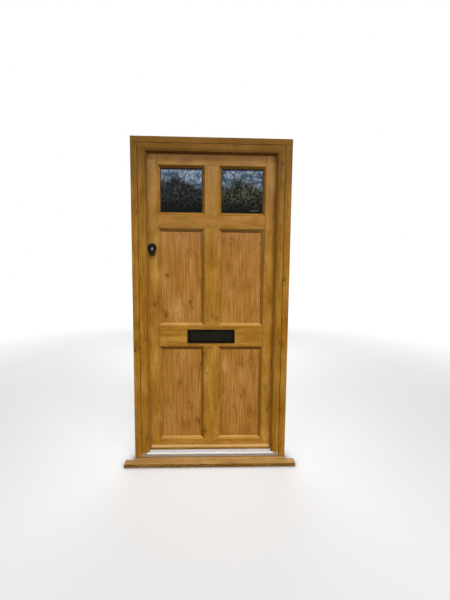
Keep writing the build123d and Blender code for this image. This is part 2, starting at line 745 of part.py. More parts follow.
def hinge_plate(up, on_leaf):
    """One leaf of a butt hinge with its share of the knuckles, bored for the pin."""
    z0 = LEAF_Z + up - HINGE_H / 2
    x0 = LEAF_X - HINGE_PLATE_T if on_leaf else REBATE_X
    solid = slab(x0, x0 + HINGE_PLATE_T, JAMB_D - HINGE_PLATE_W, JAMB_D, z0, z0 + HINGE_H)
    pitch = HINGE_H / KNUCKLES
    for k in range(1 if on_leaf else 0, KNUCKLES, 2):
        low = z0 + k * pitch + (KNUCKLE_GAP / 2 if k else 0)
        high = z0 + (k + 1) * pitch - (KNUCKLE_GAP / 2 if k < KNUCKLES - 1 else 0)
        solid += slab(x0, x0 + HINGE_PLATE_T, JAMB_D, HINGE_Y, low, high)
        solid += rod_z(HINGE_X, HINGE_Y, low, high, KNUCKLE_R)
    solid -= rod_z(HINGE_X, HINGE_Y, z0 - 1, z0 + HINGE_H + 1, PIN_R + PIN_FIT)
    for cutter in hinge_screws(on_leaf, SCREW_FIT):
        if abs(cutter.center().Z - LEAF_Z - up) < HINGE_H / 2:
            solid -= cutter
    return solid


def hinge_pins():
    """Three pins, each with a flat head at its top."""
    pins = []
    for up in HINGE_UP:
        z0, z1 = LEAF_Z + up - HINGE_H / 2, LEAF_Z + up + HINGE_H / 2
        pin = rod_z(HINGE_X, HINGE_Y, z0, z1, PIN_R)
        pins.append(pin + rod_z(HINGE_X, HINGE_Y, z1, z1 + PIN_HEAD_H, PIN_HEAD_R))
    return group(pins)


def hinge_recesses(on_leaf):
    """What the hinge plates and their screws take out of the timber."""
    x0 = LEAF_X - HINGE_PLATE_T if on_leaf else REBATE_X
    cutters = [slab(x0, x0 + HINGE_PLATE_T, JAMB_D - HINGE_PLATE_W, JAMB_D,
                    LEAF_Z + up - HINGE_H / 2, LEAF_Z + up + HINGE_H / 2) for up in HINGE_UP]
    return cutters + hinge_screws(on_leaf, SCREW_FIT)


# Letter plate: a frame, a sprung flap and a rod on each face, joined by a sleeve.

def plate_side(inside):
    """Outer face of the timber and the way out of the door, for one letter plate frame."""
    return (LEAF_Y + LEAF_T, 1) if inside else (LEAF_Y, -1)


def between(a, b):
    """Two depths in rising order."""
    return (a, b) if a < b else (b, a)


def letter_frame(inside):
    """The plate round the slot, with a rounded front edge and holes for rod and bolts."""
    face, out = plate_side(inside)
    y0, y1 = between(face, face + out * PLATE_T)
    plate = slab(-PLATE_W / 2, PLATE_W / 2, y0, y1, PLATE_Z - PLATE_H / 2, PLATE_Z + PLATE_H / 2)
    plate = fillet(plate.edges().filter_by(Axis.Y), PLATE_R)
    front = plate.faces().sort_by(Axis.Y)[-1 if inside else 0]
    plate = fillet(front.edges(), PLATE_T * 0.3)
    plate -= slab(-APERTURE_W / 2, APERTURE_W / 2, y0 - 1, y1 + 1,
                  PLATE_Z - APERTURE_H / 2, PLATE_Z + APERTURE_H / 2)
    y, z = flap_axis(inside)
    plate -= rod_x(-APERTURE_W / 2 - ROD_IN, APERTURE_W / 2 + ROD_IN, y, z, ROD_R + ROD_FIT)
    for x in (-PLATE_BOLT_X, PLATE_BOLT_X):
        blind = face + out * (PLATE_T - PLATE_BOLT_SHY)
        plate -= rod_y(x, *between(face - out, blind), PLATE_Z, PLATE_BOLT_R + SCREW_FIT)
    return plate


def flap_axis(inside):
    """Depth and height of a flap's rod."""
    face, out = plate_side(inside)
    return face + out * FLAP_AXIS_UP, PLATE_Z + APERTURE_H / 2 - FLAP_AXIS_DOWN


def letter_flap(inside):
    """A flap with a softly bevelled face and two eyes on the rod."""
    face, out = plate_side(inside)
    front = face + out * (PLATE_T - FLAP_SINK)
    y0, y1 = between(front, front - out * FLAP_T)
    w, h = APERTURE_W / 2 - FLAP_GAP, APERTURE_H / 2 - FLAP_GAP
    flap = slab(-w, w, y0, y1, PLATE_Z - h, PLATE_Z + h)
    rim = flap.faces().sort_by(Axis.Y)[-1 if inside else 0]
    flap = chamfer(rim.edges(), FLAP_EDGE)
    y, z = flap_axis(inside)
    for x in (-EYE_X, EYE_X):
        flap += rod_x(x - EYE_L / 2, x + EYE_L / 2, y, z, EYE_R)
    return flap - rod_x(-w, w, y, z, ROD_R + ROD_FIT)


def flap_rods():
    """The two rods that the flaps turn on."""
    reach = APERTURE_W / 2 + ROD_IN - ROD_FIT
    return group(rod_x(-reach, reach, *flap_axis(inside), ROD_R) for inside in (False, True))


def flap_springs():
    """The springs that shut the flaps, each a close coil on its rod."""
    springs = []
    for inside in (False, True):
        y, z = flap_axis(inside)
        coil = rod_x(-SPRING_L / 2, SPRING_L / 2, y, z, SPRING_R)
        coil -= rod_x(-SPRING_L, SPRING_L, y, z, SPRING_R - SPRING_WIRE)
        springs.append(coil)
    return group(springs)


def letter_sleeve():
    """The lining of the slot, from plate to plate."""
    w, h = (APERTURE_W + SLOT_GROW) / 2 - SLEEVE_FIT, (APERTURE_H + SLOT_GROW) / 2 - SLEEVE_FIT
    t = SLEEVE_T
    outer = slab(-w, w, LEAF_Y, LEAF_Y + LEAF_T, PLATE_Z - h, PLATE_Z + h)
    return outer - slab(-w + t, w - t, LEAF_Y - 1, LEAF_Y + LEAF_T + 1, PLATE_Z - h + t, PLATE_Z + h - t)


def letter_slot_cutters():
    """The slot through the lock rail and the two bolt holes beside it."""
    w, h = (APERTURE_W + SLOT_GROW) / 2, (APERTURE_H + SLOT_GROW) / 2
    slot = slab(-w, w, LEAF_Y - 1, LEAF_Y + LEAF_T + 1, PLATE_Z - h, PLATE_Z + h)
    bolts = [rod_y(x, LEAF_Y - 1, LEAF_Y + LEAF_T + 1, PLATE_Z, PLATE_BOLT_R + PLATE_BOLT_FIT)
             for x in (-PLATE_BOLT_X, PLATE_BOLT_X)]
    return [slot] + bolts


def letter_bolts():
    """The two bolts that draw the plates together through the rail."""
    depth = PLATE_T - PLATE_BOLT_SHY - SCREW_FIT
    return group(rod_y(x, LEAF_Y - depth, LEAF_Y + LEAF_T + depth, PLATE_Z, PLATE_BOLT_R)
                 for x in (-PLATE_BOLT_X, PLATE_BOLT_X))


# Night latch and finger pull.

def pull_outline():
    """The pull seen from the front: a round head that narrows to a rounded tail."""
    head, tail, h = PULL_W / 2, PULL_TAIL_W / 2, PULL_H / 2
    head_z, tail_z = h - head, tail - h

    def on_head(angle):
        return (head * cos(radians(angle)), head_z + head * sin(radians(angle)))

    def on_tail(angle):
        return (tail * cos(radians(angle)), tail_z + tail * sin(radians(angle)))

    neck = (tail * 1.06, (head_z + tail_z) / 2 - tail * 0.3)
    right = (ThreePointArc((0, h), on_head(27), on_head(-36))
             + ThreePointArc(on_head(-36), neck, on_tail(14))
             + ThreePointArc(on_tail(14), on_tail(-38), (0, -h)))
    return make_face(right + mirror(right, Plane.YZ))


def pull_profile():
    """The pull seen from the side: a domed face that sweeps out to a finger lip.

    The first coordinate is how far it stands out from the timber.
    """
    h = PULL_H / 2
    crown, waist, tip = h * 0.62, -h * 0.22, -h * 0.92
    hook_z, hook = -h * 0.5, PULL_OUT - 2 * PULL_LIP_T
    front = (ThreePointArc((0, h), (PULL_OUT * 0.62, h * 0.93), (PULL_OUT, crown))
             + Line((PULL_OUT, crown), (PULL_OUT, waist))
             + ThreePointArc((PULL_OUT, waist), (PULL_OUT + PULL_LIP_T, hook_z), (PULL_LIP_OUT, tip))
             + Line((PULL_LIP_OUT, tip), (PULL_LIP_OUT - PULL_LIP_T, -h)))
    back = (ThreePointArc((PULL_LIP_OUT - PULL_LIP_T, -h), (PULL_OUT, -h * 0.8), (hook, hook_z))
            + Polyline((hook, hook_z), (PULL_FOOT_T, hook_z), (PULL_FOOT_T, -h), (0, -h), (0, h)))
    return make_face(front + back)


def cylinder_pull():
    """The finger pull: front and side forms crossed, then bored and bowled for the cylinder."""
    shield = prism_y(pull_outline(), -PULL_LIP_OUT - 1, 0)
    low = (Align.CENTER, Align.CENTER, Align.MIN)
    side = Plane(origin=(-PULL_W, 0, 0), x_dir=(0, -1, 0), z_dir=(-1, 0, 0)) * pull_profile()
    body = Pos(0, 0, -PULL_DROP) * (shield & extrude(side, -2 * PULL_W))
    bore = CYLINDER_R + PLUG_FIT
    bowl = Pos(0, -PULL_OUT, 0) * Rot(-90, 0, 0) * Cone(PULL_BOWL_R, bore, PULL_BOWL_D, align=low)
    body = body - bowl - rod_y(0, -PULL_LIP_OUT - 1, 1, 0, bore)
    return Pos(LATCH_X, LEAF_Y, LATCH_Z) * body


def rim_cylinder():
    """The fixed shell of the cylinder, from the pull's bowl into the stile."""
    y0 = LEAF_Y - PULL_OUT + PULL_BOWL_D - CYLINDER_RISE
    y1 = LEAF_Y + CYLINDER_L
    body = rod_y(LATCH_X, y0, y1, LATCH_Z, CYLINDER_R)
    ring = rod_y(LATCH_X, y1 - CYLINDER_RING_T, y1, LATCH_Z, BORE_R - SCREW_FIT)
    return body + ring - rod_y(LATCH_X, y0 - 1, y1 + 1, LATCH_Z, PLUG_R + PLUG_FIT)


def cylinder_plug():
    """The plug that the key turns, with its keyway, and the tail that reaches the latch."""
    y0 = LEAF_Y - PULL_OUT + PULL_BOWL_D - PLUG_RISE
    y1 = LEAF_Y + CYLINDER_L
    plug = rod_y(LATCH_X, y0, y1, LATCH_Z, PLUG_R)
    plug -= slab(LATCH_X - KEYWAY_W / 2, LATCH_X + KEYWAY_W / 2, y0 - 1, y0 + KEYWAY_D,
                 LATCH_Z - KEYWAY_H / 2, LATCH_Z + KEYWAY_H / 2)
    tail = slab(LATCH_X - TAIL_T / 2, LATCH_X + TAIL_T / 2, y1, JAMB_D + CASE_WALL + TAIL_REACH,
                LATCH_Z - TAIL_W / 2, LATCH_Z + TAIL_W / 2)
    return plug + tail


def case_span():
    """Low and high X of the latch case."""
    return -LEAF_X + CASE_EDGE, -LEAF_X + CASE_EDGE + CASE_W


def case_screw_places():
    """Two screws through the solid ends of the case."""
    x = sum(case_span()) / 2
    up = CASE_H / 2 - CASE_END / 2
    return [(x, LATCH_Z + up), (x, LATCH_Z - up)]


def bolt_box(fit=0.0):
    """The bolt's section where it leaves the case: low and high Y, low and high Z."""
    y = JAMB_D + CASE_T / 2
    return (y - BOLT_W / 2 - fit, y + BOLT_W / 2 + fit,
            LATCH_Z - BOLT_H / 2 - fit, LATCH_Z + BOLT_H / 2 + fit)


def rounded_box(x0, x1, z0, z1, far_x, corner_r, edge_r):
    """A lock box on the inner faces: round corners at its far end, then a round front edge."""
    body = slab(x0, x1, JAMB_D, JAMB_D + CASE_T, z0, z1)
    corners = body.edges().filter_by(Axis.Y).filter_by(lambda e: abs(e.center().X - far_x) < 1)
    body = fillet(corners, corner_r)
    return fillet(body.faces().sort_by(Axis.Y)[-1].edges(), edge_r)


def latch_case():
    """The latch's cast case: a hollow box with openings for bolt, knob, tail bar and snib."""
    x0, x1 = case_span()
    y1 = JAMB_D + CASE_T
    t = CASE_WALL
    body = rounded_box(x0, x1, LATCH_Z - CASE_H / 2, LATCH_Z + CASE_H / 2, x1, CASE_END * 0.8, t)
    body -= slab(x0 + t, x1 - t, JAMB_D + t, y1 - t, LATCH_Z - CASE_H / 2 + CASE_END,
                 LATCH_Z + CASE_H / 2 - CASE_END)
    body -= slab(x0 - 1, x0 + t + 1, *bolt_box(BOLT_FIT))
    body -= rod_y(LATCH_X, y1 - t - 1, y1 + 1, LATCH_Z, KNOB_STEM_R + PLUG_FIT)
    body -= rod_y(LATCH_X, JAMB_D - 1, JAMB_D + t + 1, LATCH_Z, PLUG_R)
    z = LATCH_Z - SNIB_DOWN
    body -= slab(LATCH_X - SNIB_W / 2 - SCREW_FIT, LATCH_X + SNIB_W / 2 + SNIB_TRAVEL + SCREW_FIT,
                 y1 - t - 1, y1 + 1, z - SNIB_H / 2 - SCREW_FIT, z + SNIB_H / 2 + SCREW_FIT)
    return cut_all(body, lock_screw_cutters(case_screw_places()))


def latch_bolt():
    """The spring bolt, drawn back, with its slope on the closing side and a hollow for the stem."""
    x0, _ = case_span()
    y0, y1, z0, z1 = bolt_box()
    slope = BOLT_W / 4
    outline = [(x0, y1), (x0, y1 - slope), (x0 + BOLT_W - slope, y0), (x0 + BOLT_L, y0),
               (x0 + BOLT_L, y1)]
    return prism_z(outline, z0, z1) - rod_y(LATCH_X, y0 - 1, y1 + 1, LATCH_Z, KNOB_STEM_R + BOLT_FIT)


def latch_springs():
    """The two coils behind the bolt, above and below the stem."""
    x0, x1 = case_span()
    y = JAMB_D + CASE_T / 2
    start, end = x0 + BOLT_L, x1 - CASE_WALL
    coils = []
    for z in (LATCH_Z - BOLT_SPRING_UP, LATCH_Z + BOLT_SPRING_UP):
        coil = rod_x(start, end, y, z, BOLT_SPRING_R)
        coils.append(coil - rod_x(start - 1, end + 1, y, z, BOLT_SPRING_R - BOLT_SPRING_WIRE))
    return group(coils)


def latch_knob():
    """The turn knob inside: a stem through the case, a collar and a flat thumb piece."""
    y1 = JAMB_D + CASE_T
    stem = rod_y(LATCH_X, JAMB_D + CASE_WALL * 3, y1 + COLLAR_T, LATCH_Z, KNOB_STEM_R)
    collar = rod_y(LATCH_X, y1 + BOLT_FIT, y1 + COLLAR_T, LATCH_Z, KNOB_R * 0.72)
    grip = slab(-KNOB_R, KNOB_R, y1 + COLLAR_T, y1 + KNOB_OUT, -KNOB_R * 0.36, KNOB_R * 0.36)
    grip = fillet(grip.edges().filter_by(Axis.Z), KNOB_R * 0.24)
    grip = fillet(grip.faces().sort_by(Axis.Y)[-1].edges(), KNOB_R * 0.16)
    return stem + collar + Pos(LATCH_X, 0, LATCH_Z) * grip


def latch_snib():
    """The small slide that holds the bolt back."""
    y1 = JAMB_D + CASE_T
    z = LATCH_Z - SNIB_DOWN
    return slab(LATCH_X - SNIB_W / 2, LATCH_X + SNIB_W / 2, y1 - CASE_WALL, y1 + SNIB_OUT,
                z - SNIB_H / 2, z + SNIB_H / 2)


def keep_span():
    """Low and high X of the keep."""
    high = -LEAF_X + CASE_EDGE - KEEP_GAP
    return high - KEEP_W, high


def keep_screw_places():
    """Two screws, above and below the keep's pocket."""
    x = sum(keep_span()) / 2
    up = KEEP_H / 2 - KEEP_SCREW_IN
    return [(x, LATCH_Z + up), (x, LATCH_Z - up)]


def latch_keep():
    """The box on the frame that the bolt shoots into, open towards the latch."""
    x0, x1 = keep_span()
    y1 = JAMB_D + CASE_T
    t = KEEP_WALL
    half, pocket = KEEP_H / 2, BOLT_H / 2 + t
    body = rounded_box(x0, x1, LATCH_Z - half, LATCH_Z + half, x0, KEEP_SCREW_IN * 0.75, t / 2)
    body -= slab(x0 + 2 * t, x1 + 1, JAMB_D + t, y1 - t, LATCH_Z - pocket, LATCH_Z + pocket)
    return cut_all(body, lock_screw_cutters(keep_screw_places()))


def assembly():
    """Every node of the door by name."""
    cylinder_bore = [rod_y(LATCH_X, LEAF_Y - 1, LEAF_Y + LEAF_T + 1, LATCH_Z, BORE_R)]
    nodes = {
        "sill": sill(),
        "threshold": threshold(),
        "threshold_end_left": threshold_end(-1),
        "threshold_end_right": threshold_end(1),
        "threshold_seal": threshold_seal(),
        "jamb_lock": cut_all(jamb(-1), lock_screws(keep_screw_places(), SCREW_FIT)),
        "jamb_hinge": cut_all(jamb(1), hinge_recesses(False)),
        "frame_head": frame_head(),
        "extension_left": extension_side(-1),
        "extension_right": extension_side(1),
        "extension_head": extension_head(),
        "frame_seals": frame_seals(),
        "stile_lock": cut_all(stile(-1), cylinder_bore + lock_screws(case_screw_places(), SCREW_FIT)),
        "stile_hinge": cut_all(stile(1), hinge_recesses(True)),
        "weather_bar": weather_bar(),
        "hinge_pins": hinge_pins(),
        "frame_screws": group(hinge_screws(False) + lock_screws(keep_screw_places())),
        "leaf_screws": group(hinge_screws(True) + lock_screws(case_screw_places())),
        "letter_frame_outer": letter_frame(False),
        "letter_frame_inner": letter_frame(True),
        "letter_flap_outer": letter_flap(False),
        "letter_flap_inner": letter_flap(True),
        "flap_rods": flap_rods(),
        "flap_springs": flap_springs(),
        "letter_sleeve": letter_sleeve(),
        "letter_bolts": letter_bolts(),
        "cylinder_pull": cylinder_pull(),
        "rim_cylinder": rim_cylinder(),
        "cylinder_plug": cylinder_plug(),
        "latch_case": latch_case(),
        "latch_bolt": latch_bolt(),
        "latch_knob": latch_knob(),
        "latch_snib": latch_snib(),
        "latch_springs": latch_springs(),
        "latch_keep": latch_keep(),
    }
    for name in RAILS:
        nodes[name] = rail(name)
    nodes["lock_rail"] = cut_all(nodes["lock_rail"], letter_slot_cutters())
    for name in MUNTINS:
        nodes[name] = muntin(name)
    for side in ("left", "right"):
        nodes["panel_middle_" + side] = panel(("middle", side))
        nodes["panel_lower_" + side] = panel(("lower", side))
        nodes["glazing_beads_" + side] = glazing_beads(("light", side))
        nodes["pane_outer_" + side] = pane(("light", side), False)
        nodes["pane_inner_" + side] = pane(("light", side), True)
        nodes["glass_spacer_" + side] = spacer(("light", side))
    for place, up in zip(("bottom", "middle", "top"), HINGE_UP):
        nodes["hinge_frame_plate_" + place] = hinge_plate(up, False)
        nodes["hinge_leaf_plate_" + place] = hinge_plate(up, True)
    return nodes


os.makedirs("parts", exist_ok=True)
for node, shape in assembly().items():
    export_step(shape, "parts/" + node + ".step")
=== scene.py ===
from math import cos, radians, sin

import bmesh
import bpy
from mathutils import Matrix, Vector


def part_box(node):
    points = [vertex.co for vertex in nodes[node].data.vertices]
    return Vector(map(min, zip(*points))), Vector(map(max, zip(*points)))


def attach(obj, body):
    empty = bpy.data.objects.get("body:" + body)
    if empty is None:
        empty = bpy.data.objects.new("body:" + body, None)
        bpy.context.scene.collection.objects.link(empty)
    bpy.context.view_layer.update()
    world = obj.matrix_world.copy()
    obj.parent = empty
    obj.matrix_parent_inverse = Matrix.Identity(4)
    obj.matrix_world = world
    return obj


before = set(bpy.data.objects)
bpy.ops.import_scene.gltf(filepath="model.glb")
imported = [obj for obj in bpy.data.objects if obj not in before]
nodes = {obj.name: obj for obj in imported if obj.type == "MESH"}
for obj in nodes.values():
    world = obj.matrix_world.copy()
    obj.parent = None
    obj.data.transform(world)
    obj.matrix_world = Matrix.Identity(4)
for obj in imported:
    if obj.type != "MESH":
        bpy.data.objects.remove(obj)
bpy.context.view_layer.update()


# ---- Sill -----------------------------------------------------------------------------
# A hardwood sill with a rounded nose, and horns that run past the frame on both sides. It
# is stained like the door, and the faces that look up are painted paler, as painted light.

class Field:
    """A socket of the material that is being written. Sums on it add the nodes they need."""

    def __init__(self, tree, socket=None):
        self.tree = tree
        self.socket = socket

    def node(self, kind, settings=None, sockets=None, out=0):
        """Any node: its settings first, then the values or links of its sockets."""
        made = self.tree.nodes.new(kind)
        for name, value in (settings or {}).items():
            if name == "stops":
                ramp = made.color_ramp
                while len(ramp.elements) < len(value):
                    ramp.elements.new(1.0)
                for element, (place, tint) in zip(ramp.elements, value):
                    element.position = place
                    element.color = tint
            else:
                setattr(made, name, value)
        for name, value in (sockets or {}).items():
            if isinstance(value, Field):
                self.tree.links.new(value.socket, made.inputs[name])
            else:
                made.inputs[name].default_value = value
        return Field(self.tree, made.outputs[out])

    def other(self, name):
        """Another output of the node that this one comes from."""
        return Field(self.tree, self.socket.node.outputs[name])

    def math(self, operation, *values, clamp=False):
        return self.node("ShaderNodeMath", {"operation": operation, "use_clamp": clamp},
                         dict(enumerate(values)))

    def __add__(self, other):
        return self.math("ADD", self, other)

    def __sub__(self, other):
        return self.math("SUBTRACT", self, other)

    def __rsub__(self, other):
        return self.math("SUBTRACT", other, self)

    def __mul__(self, other):
        return self.math("MULTIPLY", self, other)

    def __pow__(self, other):
        return self.math("POWER", self, other)

    def __truediv__(self, other):
        return self.math("DIVIDE", self, other)

    def __abs__(self):
        return self.math("ABSOLUTE", self)

    __radd__ = __add__
    __rmul__ = __mul__

    def between(self, low, high):
        """0 below low, 1 above high, with a smooth rise from one to the other."""
        return self.node("ShaderNodeMapRange", {"interpolation_type": "SMOOTHSTEP"},
                         {"Value": self, "From Min": low, "From Max": high})

    def band(self, centre, width):
        """1 on a line at centre, fading to 0 at width on each side of it."""
        return 1 - abs(self - centre).between(width * 0.35, width)

    def place(self):
        """Where the surface is, in the metres of the frame that all the pieces share."""
        return self.node("ShaderNodeTexCoord", out=3)

    def parts(self):
        """The x, y and z of a vector."""
        split = self.node("ShaderNodeSeparateXYZ", sockets={"Vector": self})
        return [Field(self.tree, out) for out in split.socket.node.outputs]

    def vector(self, x, y, z=0.0):
        return self.node("ShaderNodeCombineXYZ", sockets={"X": x, "Y": y, "Z": z})

    def noise(self, place, scale, detail=3.0, rough=0.55, twist=0.0):
        return self.node("ShaderNodeTexNoise", {"noise_dimensions": "3D"},
                         {"Vector": place, "Scale": scale, "Detail": detail, "Roughness": rough,
                          "Distortion": twist})

    def cells(self, place, feature="F1"):
        """Cells of about one unit across, on a plane."""
        return self.node("ShaderNodeTexVoronoi", {"feature": feature, "voronoi_dimensions": "2D"},
                         {"Vector": place, "Scale": 1.0, "Randomness": 0.85})

    def mix(self, first, second, amount):
        """Two colours mixed by an amount."""
        return self.node("ShaderNodeMix", {"data_type": "RGBA"},
                         {0: amount, 6: first, 7: second}, out=2)

    def rounded(self, radius):
        """A normal that bends over the edges, as if they were rounded."""
        return self.node("ShaderNodeBevel", {"samples": 4}, {"Radius": radius})

    def open_sky(self, reach, samples=6):
        """How much of the surface's surroundings is open, within reach of it."""
        return self.node("ShaderNodeAmbientOcclusion", {"samples": samples},
                         {"Distance": reach}, out=1)


def colour(red, green, blue):
    """A colour as a monitor shows it, 0 to 255, turned into the light it stands for."""
    channels = []
    for value in (red, green, blue):
        v = value / 255
        channels.append(v / 12.92 if v <= 0.04045 else ((v + 0.055) / 1.055) ** 2.4)
    return (*channels, 1.0)


def palette(**tones):
    """The tones of one stain by name."""
    return {tone: colour(*shown) for tone, shown in tones.items()}


def new_finish(name, **constants):
    """A material with a Principled surface whose unchanging values are set on its sockets."""
    material = bpy.data.materials.new(name)
    material.use_nodes = True
    shader = material.node_tree.nodes["Principled BSDF"]
    for socket, value in constants.items():
        shader.inputs[socket.replace("_", " ")].default_value = value
    return material, Field(material.node_tree), shader


def join(field, shader, socket):
    shader.id_data.links.new(field.socket, shader.inputs[socket])


def relief(f, shader, height, strength, depth, normal):
    """A fine relief over a normal, depth metres deep where height is 1."""
    join(f.node("ShaderNodeBump", sockets={"Strength": strength, "Distance": depth,
                                           "Height": height, "Normal": normal}),
         shader, "Normal")


def grime(f, shade, deep, reach, amount):
    """Painted shade that darkens quirks and corners, where the surroundings close in."""
    return f.mix(shade, deep, (1 - f.open_sky(reach).between(0.25, 0.95)) * amount)


# How many knots and paws a metre of board has room for, across the grain and along it.
KNOTS_ACROSS, KNOTS_ALONG = 8.5, 4.6
PAWS_ACROSS, PAWS_ALONG = 10.5, 7.0
# The heights over which painted shade tints the top, and the depths of what is small, in metres.
DULL_FROM, DULL_TO = 1.25, 2.05
REBATE_FADE = 0.003
DIRT_REACH = 0.010
ARRIS = 0.0012
GRAIN_DEPTH = 0.0006


def timber(name, along, stain, offset, knots=0.55, streaks=1.0, swirl=1.0, paws=0.25,
           bleach=0.9, sheltered=0.68, dirt=0.60, splashed=0.0, seams=(), ovolo=None,
           above=None, rebate=None):
    """Stained timber with its grain along one axis.

    offset moves the pattern, so that no two pieces are cut from the same place in a board.
    The grain bows round soft pale knots, and paws are clusters of tiny dark ones: both say
    how many there are, as streaks and swirl say how strong the straight and the wavy grain
    are. bleach is how much paler the faces that look up are painted, as painted
    light, and sheltered how much painted shade darkens the ones that look down or
    sideways. dirt is how much painted shade darkens the corners, and splashed
    how much darker and mottled the faces that look forward are. seams are dark lines where a
    board meets the next: the axis, the distance from the middle and the half width. ovolo is
    where a moulding's rounded edge starts and ends in depth, and how far it bulges. above is
    the tint of a painted shade at the top, and how much of it there is. rebate is the depth
    behind which the sides are painted paler, as painted light.
    """
    material, f, shader = new_finish(name, IOR=1.5, Specular_IOR_Level=0.05,
                                     Coat_Roughness=0.30)
    x, y, z = f.place().parts()
    length, across = {"x": (x, z), "z": (z, x)}[along]
    length = length + offset * 1.37
    across = across + offset
    sway = (f.noise(f.vector(across, y, length * 0.30), 4.5, 2.0) - 0.5) * 0.05 * swirl

    # Knots, and the grain that bends round them.
    blur = f.noise(f.vector(across, y, length * 0.6), 26.0, 2.0) - 0.5
    board = f.vector(across * KNOTS_ACROSS + blur * 0.35, length * KNOTS_ALONG + blur * 0.30)
    knot = f.cells(board)
    present = knot.other("Color").parts()[0].between(0.95 - knots, 1.0 - knots)
    bulge = f.math("EXPONENT", (knot / 0.27) ** 2.0 * -1.0) * present
    aside = (board.parts()[0] - knot.other("Position").parts()[0]) / KNOTS_ACROSS
    bent = across + sway - aside * bulge * 0.78

    # The growth rings and streaks, from broad to fine.
    broad = f.noise(f.vector(bent, y * 0.5, length * 0.07), 34.0, 2.0) - 0.5
    medium = f.noise(f.vector(bent, y * 0.5, length * 0.035), 130.0, 2.0) - 0.5
    fine = f.noise(f.vector(bent, y * 0.5, length * 0.022), 400.0, 2.0) - 0.5
    cloud = f.noise(f.vector(across, y, length * 0.42), 11.0, 3.0) - 0.5
    mottle = f.noise(f.vector(bent, y, length * 0.45), 52.0, 3.0, 0.6, 0.8) - 0.5
    tone = (0.5 + broad * 0.42 * swirl + medium * 0.55 * streaks + fine * 0.45 * streaks
            + cloud * 0.60 + mottle * 0.40 * swirl + bulge * 0.16)
    rings = [(0.18, stain["dark"]), (0.50, stain["base"]), (0.82, stain["pale"])]
    shade = f.node("ShaderNodeValToRGB", {"stops": rings}, {"Fac": tone})
    ticks = f.noise(f.vector(bent, y, length * 0.10), 230.0, 2.0).between(0.60, 0.72)
    shade = f.mix(shade, stain["dark"], ticks * 0.40 * streaks)

    # Paws.
    patch = f.cells(f.vector(across * PAWS_ACROSS + blur + 3.1, length * PAWS_ALONG + blur + 1.7))
    found = patch.other("Color").parts()[1].between(0.95 - paws, 1.0 - paws)
    cluster = (1 - patch.between(0.05, 0.45)) * found
    curl = f.noise(f.vector(across, y, length * 0.45), 76.0, 1.0, 0.5, 1.1).between(0.53, 0.66)
    shade = f.mix(shade, stain["dark"], cluster * 0.28)
    shade = f.mix(shade, stain["deep"], cluster * curl * 0.70)

    # Painted light and shade by the way the faces look, and the other marks on them.
    right, back, up = f.node("ShaderNodeNewGeometry", out=1).parts()
    square = abs(right).between(0.94, 0.99)
    # Painted shade: faces that look down or aside are darker, those that look left most of all.
    away = (0.0 - right).between(0.15, 0.40) * 0.72 + right.between(0.15, 0.40) * 0.18
    shade = f.mix(shade, stain["deep"], (0.0 - up).between(0.10, 0.40) * sheltered)
    shade = f.mix(shade, stain["deep"], away * (1 - square) * sheltered)
    # Painted light: faces that look up are paler.
    shade = f.mix(shade, stain["sun"], up.between(0.15, 0.60) * (0.85 + cloud) * bleach)
    # The faces that look forward are darker and mottled.
    if splashed:
        scuff = f.noise(f.vector(x * 2.0, y * 6.0, z * 6.0), 24.0, 4.0, 0.65).between(0.38, 0.62)
        front = (0.0 - back).between(0.80, 0.97)
        shade = f.mix(shade, stain["deep"], front * (0.25 + scuff * 0.45) * splashed)
    for axis, middle, half in seams:
        line = abs({"x": x, "z": z}[axis]).band(middle, half)
        shade = f.mix(shade, stain["seam"], line * 0.62)
    # Painted light: the sides inside the rebate are paler.
    if rebate is not None:
        inner = y.between(rebate, rebate + REBATE_FADE)
        shade = f.mix(shade, stain["sun"], inner * square * 0.7)
    # Painted shade: towards the top the timber takes on the tint that shade gives it.
    if above is not None:
        dull, amount = above
        shade = f.mix(shade, dull, z.between(DULL_FROM, DULL_TO) * amount)
    # Painted shade darkens the corners and quirks.
    shade = grime(f, shade, stain["deep"], DIRT_REACH, dirt)
    join(shade, shader, "Base Color")
    join(0.56 - tone * 0.14 + ticks * 0.15, shader, "Roughness")
    join(0.015 + cloud * 0.03, shader, "Coat Weight")

    normal = f.rounded(ARRIS)
    if ovolo is not None:
        start, end, out = ovolo
        step = f.math("ADD", (y - start) / (end - start), 0.0, clamp=True)
        normal = f.node("ShaderNodeBump", sockets={"Distance": 1.0, "Normal": normal,
                                                   "Height": step * (1 - step) * (4.0 * out)})
    relief(f, shader, fine + medium * 0.6 - ticks * 0.7, 0.25, GRAIN_DEPTH, normal)
    return material


def wear(node, material):
    """Gives a solid of the frame its finished material."""
    nodes[node].material_slots[0].material = material


def stained(node, along, stain, offset, **marks):
    """Stains one piece of timber, which is cut from a board of its own."""
    wear(node, timber(node.replace("_", " ") + " stain", along, stain, offset, **marks))


sill_stain = palette(base=(172, 124, 54), pale=(208, 162, 92), dark=(128, 88, 30),
                     deep=(60, 40, 12), sun=(216, 176, 116))
stained("sill", "x", sill_stain, 3.1, knots=0.2, paws=0.1, bleach=0.5, splashed=1.0)


# ---- Threshold and its end blocks -----------------------------------------------------
# One aluminium extrusion as it leaves the mill, with a little street dust on it. Its ends
# sit between two grey moulded plastic blocks, on which the jambs stand.

SPLASH_LOW, SPLASH_HIGH = 0.046, 0.051
QUIRK_REACH = 0.003


